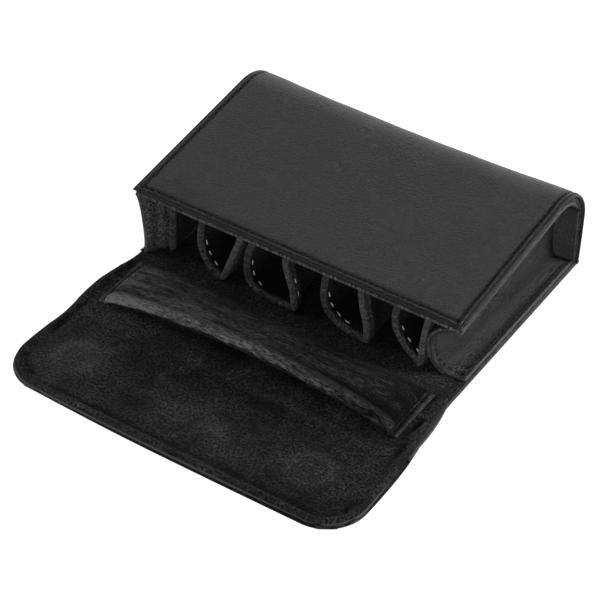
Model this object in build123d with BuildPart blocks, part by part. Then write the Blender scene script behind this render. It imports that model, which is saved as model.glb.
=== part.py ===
from build123d import *
from math import atan2, cos, radians, sin, tan
import os

os.makedirs("parts", exist_ok=True)

# Sizes of the case, in millimetres
case_width = 155.0
case_depth = 99.5
mouth_height = 37.8
rear_height = 48.2
rear_fold_radius = 20.0

# Layers of the walls
leather = 1.2
wrap_foam = 1.6
lining = 1.2
board = 1.4
edge_inset = 0.4

# Gussets: recessed side walls with flanges that turn outward
gusset_leather = 1.4
gusset_lining = 1.4
gusset_recess = 12.0
gusset_bend = 8.0
flange_inset = 0.6
gusset_setback_top = 1.2
gusset_setback_bottom = 6.0
splay_recess = 2.5
splay_depth = 24.0

# Zigzag divider: one plush strip that hangs from the front panel in four V cells
cell_count = 4
left_space = 18.5
cell_opening = 17.5
cell_left_shifts = (-2.0, -4.7, -0.3, 3.2)
cell_right_shifts = (-3.3, -8.8, -2.2, 0.0)
cell_leans = (0.9, 5.9, 10.0, 4.4)
wall_bows = (6.0, 9.5, 8.5, 6.0)
divider_sheet = 2.0
divider_hem = 3.2
hem_depth = 7.0
divider_setback = 4.6
divider_end_lift = 2.6

# Flap: a cover section for the mouth and a front section that laps over the front panel
mouth_clearance = 0.4
fold_gap = 0.25
back_swing = 30.0
lay_angle = 6.5
front_length = 47.2
cover_flare = 3.4
waist_flare = 2.8
front_flare = 4.7
corner_flare = 4.1
corner_radius = 18.0
front_bow = 1.4

# Magnets of the flap and the steel discs that catch them
magnet_radius = 7.5
magnet_side_margin = 21.7
magnet_offset = 19.4
disc_thickness = 1.0
pocket_clearance = 0.1

# Arched cushion on the cover section
cushion_end_margin = 9.5
cushion_width = 29.0
cushion_setback = 3.4
cushion_thickness = 5.0
cushion_lift = 8.5
cushion_crown = 1.0
cushion_squareness = 12
cushion_stations = (-1, -0.94, -0.8, -0.5, 0, 0.5, 0.8, 0.94, 1)
tab_width = 3.1
tab_thickness = 1.2

# Derived places
half_width = case_width / 2
wrap_stiff = leather + wrap_foam
wrap_total = wrap_stiff + lining
back_stiff = leather + board
back_total = back_stiff + lining
gusset_total = gusset_leather + gusset_lining
inner_layers = board + lining
fold_z = leather
fold_setback = inner_layers + mouth_clearance
cover_length = mouth_height + mouth_clearance + inner_layers - leather
flap_reach = fold_setback + cover_length + front_length
mouth_y = (flap_reach - case_depth) / 2
rear_y = mouth_y + case_depth
base_fold_y = mouth_y - fold_setback
front_fold_y = base_fold_y - cover_length
front_edge_y = front_fold_y - front_length
panel_slope = atan2(rear_height - mouth_height, case_depth)
cover_half_width = half_width + cover_flare
waist_half_width = half_width + waist_flare
front_half_width = half_width + front_flare
corner_half_width = half_width + corner_flare
magnet_spread = half_width - magnet_side_margin
magnet_y = front_fold_y - magnet_offset
disc_y = base_fold_y + magnet_offset * cos(radians(lay_angle))
cushion_length = case_width - 2 * cushion_end_margin
cushion_rear_y = base_fold_y - cushion_setback
cushion_front_y = cushion_rear_y - cushion_width
divider_front_y = mouth_y + divider_setback
divider_hem_y = divider_front_y + hem_depth
divider_rear_y = rear_y - rear_fold_radius * (1 + sin(panel_slope))
beyond = rear_fold_radius


def panel_z(y, inset):
    """Height of the front panel's layer that lies inset below its outer face, at y."""
    return mouth_height + (y - mouth_y) * tan(panel_slope) - inset / cos(panel_slope)


def wrap_section(inset, front, base):
    """Side outline of the room under the wrap, inset from its outer face, from front to the rear wall."""
    rear = rear_y - inset
    with BuildSketch() as outline:
        with BuildLine():
            Polyline(
                (front, base),
                (front, panel_z(front, inset)),
                (rear, panel_z(rear, inset)),
                (rear, base),
                close=True,
            )
        make_face()
        fillet(outline.vertices().group_by(Axis.X)[-1].sort_by(Axis.Y)[-1], rear_fold_radius - inset)
    return outline.sketch


splay_plane = Plane(
    origin=(half_width - splay_recess - gusset_total, mouth_y, 0),
    z_dir=(splay_depth, gusset_recess - splay_recess, 0),
)


def gusset_block(inset, splayed):
    """Solid that fills the right side recess, out to a skin inset from the gusset's inner face."""
    flange_x = half_width - flange_inset
    web_x = half_width - gusset_recess - gusset_total + inset
    with BuildPart() as block:
        with BuildSketch(Plane.YZ.offset(flange_x)):
            add(wrap_section(wrap_total + inset, mouth_y - beyond, back_total + inset))
        extrude(amount=web_x - flange_x)
        web_face = block.faces().sort_by(Axis.X)[0]
        bends = web_face.edges() - web_face.edges().group_by(Axis.Y)[0]
        fillet(bends, gusset_bend - inset)
        if splayed:
            split(bisect_by=splay_plane.offset(inset), keep=Keep.TOP)
    return block.part


def gusset_layer(inner, outer, splayed=False):
    """The gusset's layer between two insets, trimmed to its slanted mouth edge."""
    top = (0, mouth_y + gusset_setback_top, panel_z(mouth_y, wrap_total))
    drop = top[2] - back_total
    mouth_edge = Plane(origin=top, z_dir=(0, drop, gusset_setback_bottom - gusset_setback_top))
    with BuildPart() as layer:
        add(gusset_block(inner, splayed))
        add(gusset_block(outer, splayed), mode=Mode.SUBTRACT)
        split(bisect_by=mouth_edge, keep=Keep.TOP)
    return layer.part


def mitre(fold_y, side, below=False):
    """Slanted plane that trims a layer beside a fold line, on its rear side (1) or its front side (-1)."""
    rise = -tan(radians(back_swing / 2)) if below else 1
    return Plane(origin=(0, fold_y + side * fold_gap, fold_z), z_dir=(0, -side, rise))


def trim_beside(fold_y, side):
    """Trims the part being built beside a fold line, so that both ways of folding stay clear."""
    split(bisect_by=mitre(fold_y, side), keep=Keep.BOTTOM)
    split(bisect_by=mitre(fold_y, side, below=True), keep=Keep.BOTTOM)


def flap_outline(inset):
    """Outline of the open flap, a waisted sheet with rounded front corners, inset from its edge."""
    cover_mid_y = (base_fold_y + front_fold_y) / 2
    front_mid_y = (front_fold_y + front_edge_y) / 2
    root = half_width - inset
    cover = cover_half_width - inset
    waist = waist_half_width - inset
    front = front_half_width - inset
    corner = corner_half_width - inset
    edge_y = front_edge_y + inset
    corner_y = edge_y + front_bow
    with BuildSketch() as outline:
        with BuildLine():
            Polyline(
                (-root, base_fold_y),
                (-root, base_fold_y + beyond),
                (root, base_fold_y + beyond),
                (root, base_fold_y),
            )
            ThreePointArc((root, base_fold_y), (cover, cover_mid_y), (waist, front_fold_y))
            ThreePointArc((waist, front_fold_y), (front, front_mid_y), (corner, corner_y))
            ThreePointArc((corner, corner_y), (0, edge_y), (-corner, corner_y))
            ThreePointArc((-corner, corner_y), (-front, front_mid_y), (-waist, front_fold_y))
            ThreePointArc((-waist, front_fold_y), (-cover, cover_mid_y), (-root, base_fold_y))
        make_face()
        fillet(outline.vertices().group_by(Axis.Y)[0], corner_radius - inset)
    return outline.sketch


def flap_layer(inset, low, high):
    """One layer of the open flap between two heights, not yet divided at the fold lines."""
    with BuildPart() as layer:
        with BuildSketch(Plane.XY.offset(low)):
            add(flap_outline(inset))
        extrude(amount=high - low)
    return layer.part


def divider_section(y, thickness):
    """The divider's cut face at y: up the left gusset, down and up in four V cells, up the right gusset."""
    side = half_width - gusset_recess - gusset_total - thickness / 2
    top = panel_z(y, wrap_total) - thickness / 2
    rise = panel_z(y, wrap_total) - panel_z(divider_front_y, wrap_total)
    bottom = back_total + rise + thickness / 2
    pitch = (2 * side - left_space - cell_opening) / (cell_count - 1)
    with BuildSketch(Plane(origin=(0, y, 0), x_dir=(1, 0, 0), z_dir=(0, -1, 0))) as section:
        with BuildLine():
            Line((-side, bottom + divider_end_lift), (-side, top))
            land_start = -side
            for cell in range(cell_count):
                base_x = -side + left_space + cell * pitch
                left = base_x + cell_left_shifts[cell]
                right = base_x + cell_opening + cell_right_shifts[cell]
                apex = (left + right) / 2 + cell_leans[cell]
                Line((land_start, top), (left, top))
                SagittaArc((left, top), (apex, bottom), -wall_bows[cell])
                Line((apex, bottom), (right, top))
                land_start = right
            offset(amount=thickness / 2, side=Side.BOTH)
        make_face()
    return section.sketch


def cushion_section(share):
    """The cushion's section at a share of its half length: sewn down behind, lifted at its free front edge."""
    lift = cushion_lift * (1 - share**2)
    swell = (1 - share**cushion_squareness) ** 0.5
    thickness = tab_thickness + (cushion_thickness - tab_thickness) * swell
    middle_y = (cushion_rear_y + cushion_front_y) / 2
    low_front = back_total + lift
    high_front = low_front + thickness
    high_rear = back_total + thickness
    with BuildSketch(Plane.YZ.offset(share * cushion_length / 2)) as section:
        with BuildLine():
            ThreePointArc(
                (cushion_rear_y, high_rear),
                (middle_y, (high_rear + high_front) / 2 + cushion_crown),
                (cushion_front_y, high_front),
            )
            Polyline(
                (cushion_front_y, high_front),
                (cushion_front_y, low_front),
                (cushion_rear_y, back_total),
                (cushion_rear_y, high_rear),
            )
        make_face()
    return section.sketch


# Wrap: front panel, rounded rear fold and rear wall in one bent sheet of three layers
with BuildPart() as wrap_leather:
    with BuildSketch(Plane.YZ):
        add(wrap_section(0, mouth_y, leather))
        add(wrap_section(wrap_stiff, mouth_y, leather), mode=Mode.SUBTRACT)
    extrude(amount=half_width, both=True)
    with BuildSketch(Plane.YZ):
        add(wrap_section(leather, mouth_y + leather, leather))
        add(wrap_section(wrap_stiff, mouth_y + leather, leather), mode=Mode.SUBTRACT)
    extrude(amount=half_width - leather, both=True, mode=Mode.SUBTRACT)
wrap_leather.part.label = "wrap_leather"

disc_plane = Plane(
    origin=(0, disc_y, panel_z(disc_y, leather)),
    x_dir=(1, 0, 0),
    z_dir=(0, -sin(panel_slope), cos(panel_slope)),
)

with BuildPart() as wrap_foam_layer:
    with BuildSketch(Plane.YZ):
        add(wrap_section(leather, mouth_y + leather, leather))
        add(wrap_section(wrap_stiff, mouth_y + leather, leather), mode=Mode.SUBTRACT)
    extrude(amount=half_width - leather, both=True)
    with BuildSketch(disc_plane):
        with Locations((-magnet_spread, 0), (magnet_spread, 0)):
            Circle(magnet_radius + pocket_clearance)
    extrude(amount=-disc_thickness, mode=Mode.SUBTRACT)
wrap_foam_layer.part.label = "wrap_foam"

with BuildPart() as wrap_lining:
    with BuildSketch(Plane.YZ):
        add(wrap_section(wrap_stiff, mouth_y + edge_inset, back_total))
        add(wrap_section(wrap_total, mouth_y + edge_inset, back_total), mode=Mode.SUBTRACT)
    extrude(amount=half_width - edge_inset, both=True)
wrap_lining.part.label = "wrap_lining"

# Steel discs under the front panel's leather, which the flap's magnets catch
catch_discs = {}
for name, place in (("left", -magnet_spread), ("right", magnet_spread)):
    with BuildPart() as catch_disc:
        with BuildSketch(disc_plane):
            with Locations((place, 0)):
                Circle(magnet_radius)
        extrude(amount=-disc_thickness)
    catch_disc.part.label = name + "_catch_disc"
    catch_discs[name] = catch_disc.part

# Back panel: the leather turns up at both sides round the board
back_inner_depth = rear_y - wrap_stiff - base_fold_y
back_inner_y = base_fold_y + back_inner_depth / 2
with BuildPart() as back_leather:
    with BuildSketch():
        with Locations((0, (base_fold_y + rear_y) / 2)):
            Rectangle(case_width, rear_y - base_fold_y)
    extrude(amount=leather)
    with BuildSketch(Plane.XY.offset(leather)):
        with Locations((0, back_inner_y)):
            Rectangle(case_width, back_inner_depth)
            Rectangle(case_width - 2 * leather, back_inner_depth, mode=Mode.SUBTRACT)
    extrude(amount=board)
    trim_beside(base_fold_y, 1)
back_leather.part.label = "back_leather"

with BuildPart() as back_board:
    with BuildSketch(Plane.XY.offset(leather)):
        with Locations((0, back_inner_y)):
            Rectangle(case_width - 2 * leather, back_inner_depth)
    extrude(amount=board)
    trim_beside(base_fold_y, 1)
back_board.part.label = "back_board"

with BuildPart() as back_lining:
    with BuildSketch(Plane.XY.offset(back_stiff)):
        with Locations((0, back_inner_y)):
            Rectangle(case_width - 2 * edge_inset, back_inner_depth)
    extrude(amount=lining)
    trim_beside(base_fold_y, 1)
back_lining.part.label = "back_lining"

# Gussets: a leather skin and a plush skin on each side, bent out to flanges above, behind and below.
# The left one is splayed outward at the mouth.
gusset_parts = {}
for name, inner, outer in (
    ("gusset_lining", 0, gusset_lining),
    ("gusset_leather", gusset_lining, gusset_total),
):
    right_side = gusset_layer(inner, outer)
    right_side.label = "right_" + name
    left_side = mirror(gusset_layer(inner, outer, splayed=True), about=Plane.YZ)
    left_side.label = "left_" + name
    gusset_parts[right_side.label] = right_side
    gusset_parts[left_side.label] = left_side

# Divider: a thick hem along its front rim, then the plain sheet that follows the front panel to the rear
with BuildPart() as divider:
    for near, far, thickness in (
        (divider_front_y, divider_hem_y, divider_hem),
        (divider_hem_y, divider_rear_y, divider_sheet),
    ):
        add(divider_section(near, thickness))
        extrude(amount=(far - near) / cos(panel_slope), dir=(0, cos(panel_slope), sin(panel_slope)))
divider.part.label = "divider"

# Flap: three layers, divided at the two fold lines into the cover section and the front section
with BuildPart() as flap_leather:
    add(flap_layer(0, 0, back_stiff))
    add(flap_layer(leather, leather, back_stiff), mode=Mode.SUBTRACT)
flap_layers = {
    "leather": flap_leather.part,
    "board": flap_layer(leather, leather, back_stiff),
    "lining": flap_layer(edge_inset, back_stiff, back_total),
}
magnet_places = ((-magnet_spread, magnet_y), (magnet_spread, magnet_y))
flap_parts = {}
for name, whole_layer in flap_layers.items():
    with BuildPart() as cover:
        add(whole_layer)
        trim_beside(base_fold_y, -1)
        trim_beside(front_fold_y, 1)
    cover.part.label = "cover_" + name
    with BuildPart() as front:
        add(whole_layer)
        trim_beside(front_fold_y, -1)
        if name == "board":
            with Locations(*magnet_places):
                Cylinder(magnet_radius + pocket_clearance, 2 * back_total, mode=Mode.SUBTRACT)
    front.part.label = "front_" + name
    flap_parts[cover.part.label] = cover.part
    flap_parts[front.part.label] = front.part

# Magnets sunk in the front section's board
magnets = {}
for name, place in zip(("left", "right"), magnet_places):
    with BuildPart() as magnet:
        with BuildSketch(Plane.XY.offset(leather)):
            with Locations(place):
                Circle(magnet_radius)
        extrude(amount=board)
    magnet.part.label = name + "_magnet"
    magnets[name] = magnet.part

# Cushion: a foam pad in plush, sewn flat at both ends and arched between them
with BuildPart() as cushion_pad:
    for share in cushion_stations:
        add(cushion_section(share))
    loft(ruled=True)
cushion_pad.part.label = "cushion_pad"

cushion_tabs = {}
for name, side in (("left", -1), ("right", 1)):
    with BuildPart() as tab:
        with BuildSketch(Plane.XY.offset(back_total)):
            with Locations(
                (
                    side * (cushion_length + tab_width) / 2,
                    (cushion_rear_y + cushion_front_y) / 2,
                )
            ):
                Rectangle(tab_width, cushion_width)
        extrude(amount=tab_thickness)
    tab.part.label = name + "_cushion_tab"
    cushion_tabs[name] = tab.part

pieces = [
    wrap_leather.part,
    wrap_foam_layer.part,
    wrap_lining.part,
    back_leather.part,
    back_board.part,
    back_lining.part,
    divider.part,
    cushion_pad.part,
    *catch_discs.values(),
    *gusset_parts.values(),
    *flap_parts.values(),
    *magnets.values(),
    *cushion_tabs.values(),
]
for piece in pieces:
    export_step(piece, "parts/" + piece.label + ".step")
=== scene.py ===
from math import atan2, cos, pi, radians, sin, tan
import bmesh
import bpy
import numpy as np
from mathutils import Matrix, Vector, noise


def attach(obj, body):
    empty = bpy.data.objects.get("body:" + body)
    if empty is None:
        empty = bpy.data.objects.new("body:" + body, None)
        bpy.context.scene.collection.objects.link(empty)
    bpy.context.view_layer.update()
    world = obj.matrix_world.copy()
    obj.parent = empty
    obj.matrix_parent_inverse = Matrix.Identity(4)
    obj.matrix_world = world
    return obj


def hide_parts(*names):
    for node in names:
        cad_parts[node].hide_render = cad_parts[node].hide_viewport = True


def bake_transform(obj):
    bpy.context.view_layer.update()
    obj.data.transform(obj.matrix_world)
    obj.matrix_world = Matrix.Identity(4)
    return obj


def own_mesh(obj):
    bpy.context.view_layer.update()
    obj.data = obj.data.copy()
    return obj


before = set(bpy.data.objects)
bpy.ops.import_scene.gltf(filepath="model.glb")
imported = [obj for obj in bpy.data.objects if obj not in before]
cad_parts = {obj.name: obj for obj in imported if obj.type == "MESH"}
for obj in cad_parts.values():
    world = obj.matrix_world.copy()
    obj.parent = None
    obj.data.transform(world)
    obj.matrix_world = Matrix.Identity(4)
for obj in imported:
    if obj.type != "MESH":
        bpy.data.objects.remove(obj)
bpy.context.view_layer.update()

bpy.ops.object.select_all(action="DESELECT")


# Outer leather of the front panel, the rounded rear fold and the rear wall. The real one is a single
# piece of fine-grained black leather over a thin foam, with its edges turned in all round and held by
# a row of black lock stitches 3 mm in from the edge.
mm = 0.001
case_half = 77.5
case_front, case_rear = -4.85, 94.65
mouth_height, rear_height, fold_radius = 37.8, 48.2, 20.0
skin_thickness = 2.8
stitch_inset = 3.1
rear_belly, foot_tuck = 1.1, 0.7
panel_slope = atan2(rear_height - mouth_height, case_rear - case_front)
fold_y = case_rear - fold_radius
fold_z = mouth_height + (fold_y - case_front) * tan(panel_slope) - fold_radius / cos(panel_slope)
panel_run = (fold_y - case_front) / cos(panel_slope) - fold_radius * tan(panel_slope)
fold_run = fold_radius * (pi / 2 + panel_slope)
wall_run = fold_z - 1.2
wrap_run = panel_run + fold_run + wall_run


def wrap_point(run, below=0.0):
    """Y and Z of the wrap's side line after that run from the mouth edge, so far below its outer face."""
    if run <= panel_run:
        y = case_front + run * cos(panel_slope)
        z = mouth_height + run * sin(panel_slope)
        turn = pi / 2 + panel_slope
    elif run <= panel_run + fold_run:
        turn = pi / 2 + panel_slope - (run - panel_run) / fold_radius
        y = fold_y + fold_radius * cos(turn)
        z = fold_z + fold_radius * sin(turn)
    else:
        turn = 0.0
        y = case_rear
        z = fold_z - (run - panel_run - fold_run)
    past = max(0, run - panel_run)
    bent_run = fold_run + wall_run
    belly = rear_belly * sin(pi * past / bent_run) - foot_tuck * (past / bent_run) ** 4
    return y + belly - below * cos(turn), z - below * sin(turn)


sewn_rim = (0, 0.12, 0.35, 0.6, 0.8, 1.0, 1.2, 1.4, 1.7, 2.1, 2.6, 3.1, 3.6, 4.2, 5.2, 7)


def spaced(length, step, rim=sewn_rim):
    """Places across a sheet, close together beside both edges and a step apart between them."""
    inside = np.linspace(rim[-1], length - rim[-1], max(2, round((length - 2 * rim[-1]) / step) + 1))
    return np.concatenate([rim[:-1], inside, length - np.array(rim[-2::-1])])


def rolled(edge, radius):
    """Share of the full thickness at a distance from a rolled edge."""
    near = np.clip(1 - np.asarray(edge) / radius, 0, 1)
    return np.sqrt(np.clip(1 - near ** 2, 0, 1))


def hump(value, width):
    """A smooth rise to 1 where the value is 0, and back to nothing about two widths away."""
    return np.exp(-(value / width) ** 2)


def fade(distance, reach):
    """A share that is 1 at no distance and dies away over that reach."""
    return np.exp(-distance / reach)


def pulled(edge, at, depth, width):
    """Groove that a row of stitches pulls into a padded sheet."""
    return depth * hump(edge - at, width)


def sheet_normals(points):
    """Unit normals of a grid of points."""
    normals = np.cross(np.gradient(points, axis=1), np.gradient(points, axis=0))
    return normals / np.maximum(np.linalg.norm(normals, axis=2, keepdims=True), 1e-9)


def mark_surface(mesh, flat, rim):
    """Writes a mesh's flat UV map from places in mm, and the rim values that lighten or darken its finish."""
    corners = np.empty(len(mesh.loops), int)
    mesh.loops.foreach_get("vertex_index", corners)
    layer = mesh.uv_layers.new(name="flat")
    layer.data.foreach_set("uv", (flat * mm)[corners].ravel())
    edge = mesh.attributes.new("rim", "FLOAT", "POINT")
    edge.data.foreach_set("value", rim)


def sewn_sheet(name, points, above, below, flat, rim):
    """A closed sheet from a grid of points in mm, thickened above and below along its normals.
    The two flat grids are its UV map."""
    normals = sheet_normals(points)
    top = points + normals * np.asarray(above)[..., None]
    base = points + normals * np.asarray(below)[..., None]
    rows, columns = points.shape[:2]
    count = rows * columns
    index = np.arange(count).reshape(rows, columns)
    quads = np.stack([index[:-1, :-1], index[:-1, 1:], index[1:, 1:], index[1:, :-1]], axis=-1).reshape(-1, 4)
    faces = quads.tolist() + (quads[:, ::-1] + count).tolist()
    here = np.concatenate([index[0, :], index[1:, -1], index[-1, -2::-1], index[-2:0:-1, 0]])
    after = np.roll(here, -1)
    faces += np.column_stack([after, here, here + count, after + count]).tolist()
    mesh = bpy.data.meshes.new(name)
    mesh.from_pydata((np.concatenate([top.reshape(-1, 3), base.reshape(-1, 3)]) * mm).tolist(), [], faces)
    flat_x, flat_y, rim = [np.full((rows, columns), grid, float).ravel() for grid in (*flat, rim)]
    mark_surface(mesh, np.tile(np.column_stack([flat_x, flat_y]), (2, 1)), np.tile(rim, 2))
    return finished(name, mesh)


def finished(name, mesh):
    """The mesh as a smooth piece with merged doubles and normals that point outwards."""
    work = bmesh.new()
    work.from_mesh(mesh)
    bmesh.ops.remove_doubles(work, verts=work.verts, dist=2e-6)
    bmesh.ops.dissolve_degenerate(work, edges=work.edges, dist=1e-7)
    bmesh.ops.recalc_face_normals(work, faces=work.faces)
    work.to_mesh(mesh)
    work.free()
    mesh.shade_smooth()
    return placed(name, mesh)


def placed(name, mesh):
    """The mesh as an object of the scene."""
    piece = bpy.data.objects.new(name, mesh)
    bpy.context.collection.objects.link(piece)
    return piece


@np.vectorize
def rough(x, y, size, seed):
    """Slow unevenness of a hand-sewn sheet at a place in mm, between about -1 and 1."""
    return noise.noise(Vector((x / size + seed, y / size - seed, seed)))


def new_finish(name, colour, roughness):
    """A material with its colour and roughness set on the shader, and the node tree to add to."""
    material = bpy.data.materials.new(name)
    material.use_nodes = True
    shader = material.node_tree.nodes["Principled BSDF"]
    shader.inputs["Base Color"].default_value = (*colour, 1)
    shader.inputs["Roughness"].default_value = roughness
    return material, material.node_tree, shader


def feed(tree, made, inputs):
    """Sets a node's inputs by name or number, or links them to a socket or to a node's first output."""
    for key, value in inputs.items():
        if isinstance(value, bpy.types.Node):
            value = value.outputs[0]
        if isinstance(value, bpy.types.NodeSocket):
            tree.links.new(value, made.inputs[key])
        else:
            made.inputs[key].default_value = value


def node(tree, kind, inputs=(), **settings):
    """A shader node with its settings and inputs."""
    made = tree.nodes.new("ShaderNode" + kind)
    for key, value in settings.items():
        setattr(made, key, value)
    feed(tree, made, dict(inputs))
    return made


def where_on(tree, place):
    """Where a pattern is laid: on the piece's flat UV map, or straight through the piece."""
    if place == "flat":
        return node(tree, "UVMap", uv_map="flat").outputs["UV"]
    return node(tree, "TexCoord").outputs["Object"]


def cloudy(tree, where, scale, detail, roughness=0.5, distortion=0.0):
    """An uneven pattern, from 0 to 1, with that many lumps to the metre."""
    lumps = {"Scale": scale, "Detail": detail, "Roughness": roughness, "Distortion": distortion}
    return node(tree, "TexNoise", {"Vector": where, **lumps})


def ranged(tree, value, *limits):
    """A value carried from one range to another, and held at its ends."""
    limits = dict(zip(("From Min", "From Max", "To Min", "To Max"), limits))
    return node(tree, "MapRange", {"Value": value, **limits})


def worked(tree, operation, *values, clamp=False):
    """The result of a sum on sockets, nodes and numbers."""
    return node(tree, "Math", dict(enumerate(values)), operation=operation, use_clamp=clamp)


def emboss(tree, shader, height, strength, distance):
    """Raises and sinks a finish by a pattern's height."""
    bump = node(tree, "Bump", {"Height": height, "Strength": strength, "Distance": distance})
    feed(tree, shader, {"Normal": bump})


def tint(tree, shader, share, dark, light):
    """Colours a finish between dark and light."""
    mixed = node(tree, "MixRGB", {"Fac": share, "Color1": (*dark, 1), "Color2": (*light, 1)})
    feed(tree, shader, {"Base Color": mixed})


def leather_finish(name, dark, light):
    """Black leather: pebbled grain of about a millimetre, fine pores and a soft sheen, with painted
    highlights and painted shade from the rim attribute.
    """
    material, tree, shader = new_finish(name, dark, 0.5)
    where = where_on(tree, "flat")
    bend = cloudy(tree, where, 420.0, 2.0).outputs["Color"]
    bent = node(tree, "MixRGB", {"Fac": 0.0006, "Color1": where, "Color2": bend}, blend_type="ADD")
    pebbles = {"Vector": bent, "Scale": 1050.0, "Smoothness": 0.35}
    cells = node(tree, "TexVoronoi", pebbles, feature="SMOOTH_F1")
    pores = cloudy(tree, where, 2600.0, 3.0, 0.6)
    patches = cloudy(tree, where, 42.0, 3.0, 0.55)
    height = worked(tree, "ADD", worked(tree, "MULTIPLY", cells, -0.75), pores)
    emboss(tree, shader, height, 1.0, 0.00065)
    # The rim attribute adds painted highlights and painted shade to the grain's tone.
    rim = node(tree, "Attribute", attribute_name="rim").outputs["Fac"]
    pebble_tops = worked(tree, "POWER", ranged(tree, height, -0.1, 0.45, 0.0, 1.0), 3.0)
    tone = worked(tree, "MULTIPLY", pebble_tops, ranged(tree, patches, 0.3, 0.7, 0.65, 1.15))
    grain_and_painted_light = worked(tree, "ADD", rim, tone, clamp=True)
    tint(tree, shader, grain_and_painted_light, dark, light)
    sheen = ranged(tree, patches, 0.3, 0.7, 0.25, 0.33)
    dull = worked(tree, "ADD", sheen, ranged(tree, rim, -0.4, -0.05, 0.55, 0.0))
    feed(tree, shader, {"Roughness": dull, "Specular IOR Level": 0.32})
    return material


def dress(piece, material):
    """Gives a piece its one material."""
    piece.data.materials.clear()
    piece.data.materials.append(material)


skin_leather = leather_finish("fine_black_leather", (0.0012, 0.0012, 0.0012), (0.034, 0.034, 0.035))


def panel_sag(x, run):
    """Dip of the front panel before the rear fold, at a place across it and a run from the mouth edge."""
    return 1.9 * np.cos(np.clip(x / case_half, -1, 1) * pi / 2) ** 0.8 * hump(run - panel_run - 18, 15)


skin_half, mouth_turn = 77.75, 0.3
widths = spaced(2 * skin_half, 2.6)
runs = spaced(wrap_run + mouth_turn, 2.2) - mouth_turn
skin = np.array([[(x - skin_half, *wrap_point(run)) for x in widths] for run in runs])
x_of, run_of = np.meshgrid(widths - skin_half, runs)
side_gap, mouth_gap = np.meshgrid(np.minimum(widths, 2 * skin_half - widths), runs + mouth_turn)
foot_gap = wrap_run - run_of
open_gap = np.minimum(side_gap, mouth_gap)
rim_gap = np.minimum(open_gap, foot_gap)
sag = panel_sag(x_of, mouth_gap)
half = skin_thickness / 2
full = rolled(side_gap, half) * rolled(mouth_gap, half) * rolled(foot_gap, half)
seams = pulled(side_gap, stitch_inset, 0.55, 0.6) + pulled(mouth_gap, stitch_inset, 0.55, 0.6)
seams += pulled(foot_gap, stitch_inset, 0.4, 0.5)
layers = pulled(open_gap, 1.0, 0.38, 0.34)
plump = 0.2 * np.clip((rim_gap - stitch_inset) / 9, 0, 1) ** 0.6
disc_x, disc_run, disc_edge = 55.8, 16.4, 7.9
discs = 0.28 / (1 + np.exp((np.hypot(np.abs(x_of) - disc_x, run_of - disc_run) - disc_edge) / 0.8))
uneven = 0.2 * rough(x_of, run_of, 31, 2.7) + 0.1 * rough(x_of, run_of, 11, 5.1)
uneven *= np.clip((rim_gap - 3) / 12, 0, 1)
outer_skin = half * full - half - seams - layers + plump + discs + uneven - sag
thinned = 1.15 * hump(open_gap, 2.2)
# Painted highlight lines along the side edges and painted shade along the mouth edge; in the call below, the
# stitch grooves and the groove between the layers are darkened with painted shade.
edge_highlights_and_shade = 0.15 * fade(side_gap, 0.4) + 0.2 * hump(side_gap - 1.7, 0.3)
edge_highlights_and_shade -= 0.3 * fade(mouth_gap, 0.7) * (side_gap > 2)
wrap_skin = sewn_sheet(
    "wrap_skin",
    skin,
    outer_skin,
    (-half + thinned / 2) * full - half + thinned / 2 - sag,
    (x_of, mouth_gap),
    edge_highlights_and_shade - 0.08 * np.clip(2 * seams, 0, 1) - 0.9 * layers,
)
dress(wrap_skin, skin_leather)
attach(wrap_skin, "case")
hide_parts("wrap_leather")


# Lock stitches of the leather edges: waxed black thread, each stitch pulled a little into the leather.
# One stitch is modelled, and copied along every seam at about the pitch below.
stitch_pitch, stitch_length, thread_width = 2.9, 1.8, 0.85


def one_stitch():
    """Corner points and faces of one stitch, a flattened bead along X, as made from a ball in edit mode."""
    bpy.ops.object.select_all(action="DESELECT")
    bpy.ops.mesh.primitive_uv_sphere_add(segments=8, ring_count=6, radius=0.5, location=(0, 0, 0))
    ball = bpy.context.object
    bpy.ops.object.mode_set(mode="EDIT")
    bpy.ops.mesh.select_all(action="SELECT")
    bpy.ops.transform.rotate(value=pi / 2, orient_axis="Y", center_override=(0, 0, 0))
    bpy.ops.transform.resize(value=(stitch_length, thread_width, 0.8 * thread_width))
    bpy.ops.object.mode_set(mode="OBJECT")
    corners = np.array([v.co for v in ball.data.vertices])
    faces = [list(f.vertices) for f in ball.data.polygons]
    bpy.data.objects.remove(ball)
    return corners, faces


stitch_corners, stitch_faces = one_stitch()


def run_along(line):
    """Length along a line up to each of its points."""
    return np.concatenate([[0], np.cumsum(np.linalg.norm(np.diff(line, axis=0), axis=1))])


def points_at(places, reach, line):
    """Points of a line at one place or more of its length."""
    return np.stack([np.interp(places, reach, axis) for axis in line.T], axis=-1)


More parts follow.
